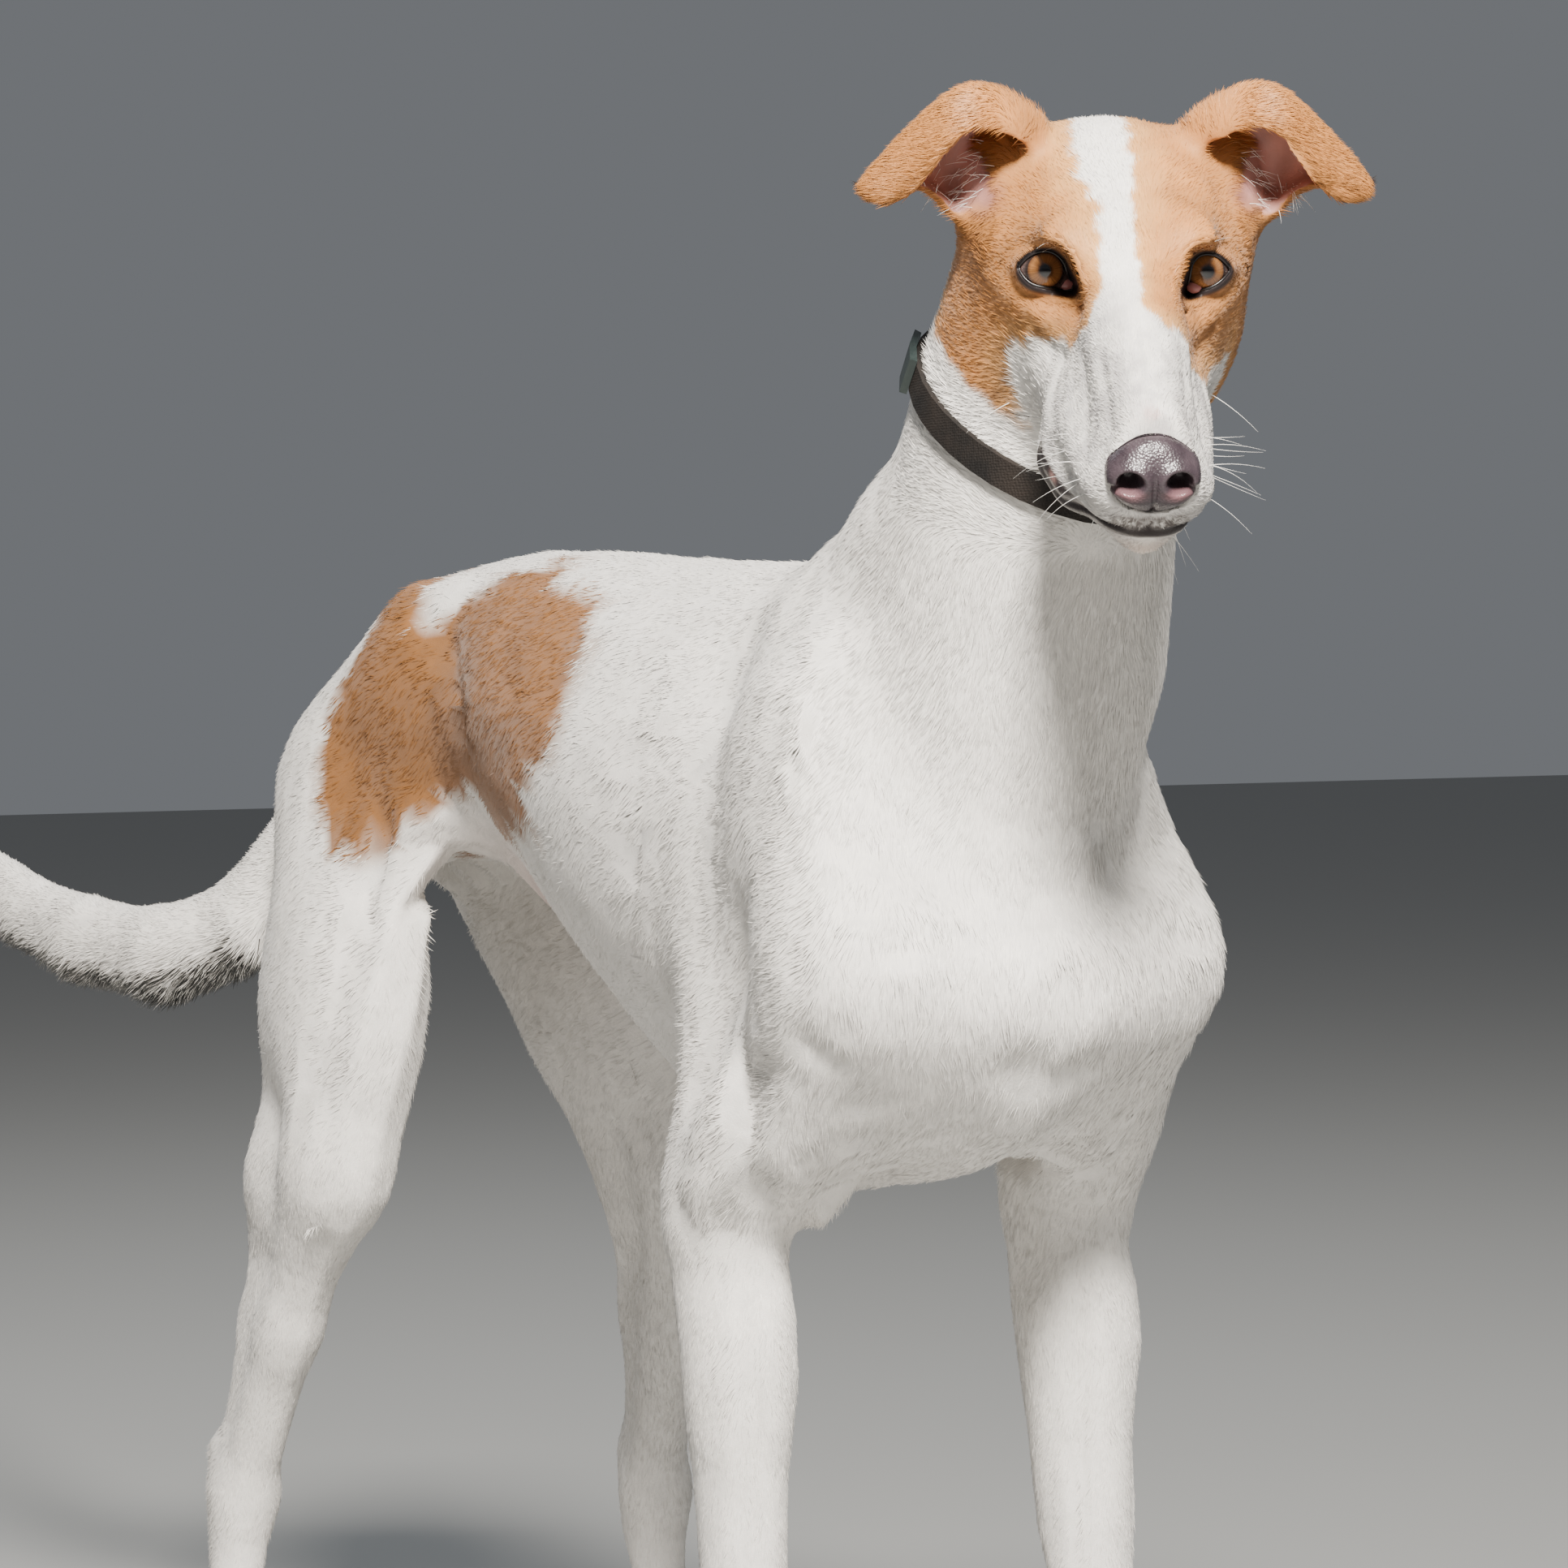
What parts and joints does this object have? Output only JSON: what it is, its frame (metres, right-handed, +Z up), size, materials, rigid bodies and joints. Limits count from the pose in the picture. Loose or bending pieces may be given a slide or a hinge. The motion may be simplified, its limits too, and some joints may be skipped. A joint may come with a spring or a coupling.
{
  "type": "greyhound",
  "caption": "Life-size still model of a slender short-coated sighthound standing on all fours, head turned, tail held out behind, with a flat collar.",
  "frame": {"origin": "on the floor, under the middle of the bounding box", "axes": "+Z up; -Y forwards, from the tail towards the breastbone; +X to the animal's left"},
  "size_m": [0.3096, 1.2954, 0.8725],
  "materials": {
    "white_coat": "short flat white hair with a soft sheen",
    "tan_coat": "short flat tan hair with a soft sheen",
    "nose_leather": "dark pebbled moist skin",
    "eye": "glossy glazed brown eye",
    "claw_horn": "dark smooth horn",
    "collar_strap": "flat dark worn strap",
    "collar_plastic": "smooth dark moulding"
  },
  "bodies": {
    "root": {"tail_root": "white_coat", "tail_middle": "white_coat", "tail_tip": "white_coat", "torso": "white_coat", "neck": "white_coat", "collar": "collar_strap", "collar_slide": "collar_plastic", "foreleg_right": "white_coat", "foreleg_left": "white_coat", "thigh_right": "tan_coat", "shank_right": "white_coat", "hock_right": "white_coat", "thigh_left": "white_coat", "shank_left": "white_coat", "hock_left": "white_coat", "claw_fore_right_1": "claw_horn", "claw_fore_right_2": "claw_horn", "claw_fore_right_3": "claw_horn", "claw_fore_right_4": "claw_horn", "paw_fore_right": "white_coat", "claw_hind_right_1": "claw_horn", "claw_hind_right_2": "claw_horn", "claw_hind_right_3": "claw_horn", "claw_hind_right_4": "claw_horn", "paw_hind_right": "white_coat", "claw_fore_left_1": "claw_horn", "claw_fore_left_2": "claw_horn", "claw_fore_left_3": "claw_horn", "claw_fore_left_4": "claw_horn", "paw_fore_left": "white_coat", "claw_hind_left_1": "claw_horn", "claw_hind_left_2": "claw_horn", "claw_hind_left_3": "claw_horn", "claw_hind_left_4": "claw_horn", "paw_hind_left": "white_coat", "eye_right": "eye", "eye_left": "eye", "head": "tan_coat", "nose": "nose_leather", "ear_right": "tan_coat", "ear_left": "tan_coat"}
  },
  "joints": []
}
